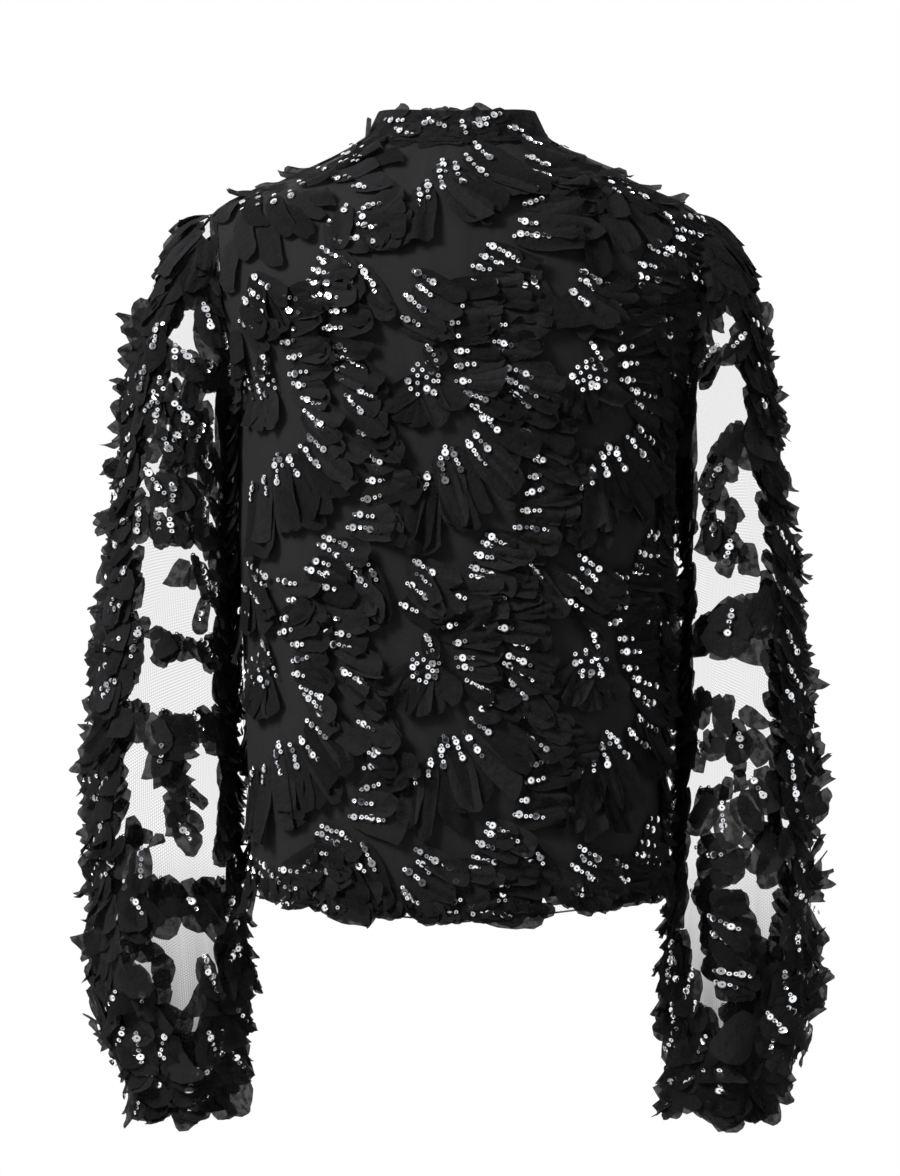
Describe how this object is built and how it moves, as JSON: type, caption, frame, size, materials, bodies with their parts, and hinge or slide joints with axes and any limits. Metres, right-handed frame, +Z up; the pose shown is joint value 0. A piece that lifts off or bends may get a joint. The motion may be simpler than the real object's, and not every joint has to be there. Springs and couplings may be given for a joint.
{
  "type": "long-sleeved blouse",
  "caption": "Cropped long-sleeved blouse of sheer black net with a low stand collar, a lined body, full sheer sleeves gathered at the wrists and columns of petal-cut chiffon ruffles.",
  "frame": {"origin": "middle of the neck's base, between the two shoulder seams, where the wearer's shoulders carry it", "axes": "+Z up, -Y towards the garment's front, +X towards the wearer's left"},
  "size_m": [0.543, 0.2533, 0.7318],
  "materials": {
    "net": "fine sheer net",
    "lining": "matte woven lining",
    "chiffon": "crinkled chiffon with raw edges",
    "button": "covered button"
  },
  "bodies": {
    "root": {"back": "net", "front": "net", "collar": "net", "sleeve_left": "net", "sleeve_right": "net", "cuff_left": "net", "cuff_right": "net", "lining_back": "lining", "lining_front": "lining", "ruffle_collar": "chiffon", "ruffle_back_1": "chiffon", "ruffle_back_2": "chiffon", "ruffle_back_3": "chiffon", "ruffle_back_4": "chiffon", "ruffle_back_5": "chiffon", "ruffle_back_6": "chiffon", "ruffle_front_1": "chiffon", "ruffle_front_2": "chiffon", "ruffle_front_3": "chiffon", "ruffle_front_4": "chiffon", "ruffle_front_5": "chiffon", "ruffle_front_6": "chiffon", "ruffle_sleeve_left_1": "chiffon", "ruffle_sleeve_left_2": "chiffon", "ruffle_sleeve_left_3": "chiffon", "ruffle_sleeve_left_4": "chiffon", "ruffle_wrist_left": "chiffon", "ruffle_sleeve_right_1": "chiffon", "ruffle_sleeve_right_2": "chiffon", "ruffle_sleeve_right_3": "chiffon", "ruffle_sleeve_right_4": "chiffon", "ruffle_wrist_right": "chiffon", "neck_button": "button", "neck_loop": "button"}
  },
  "joints": []
}
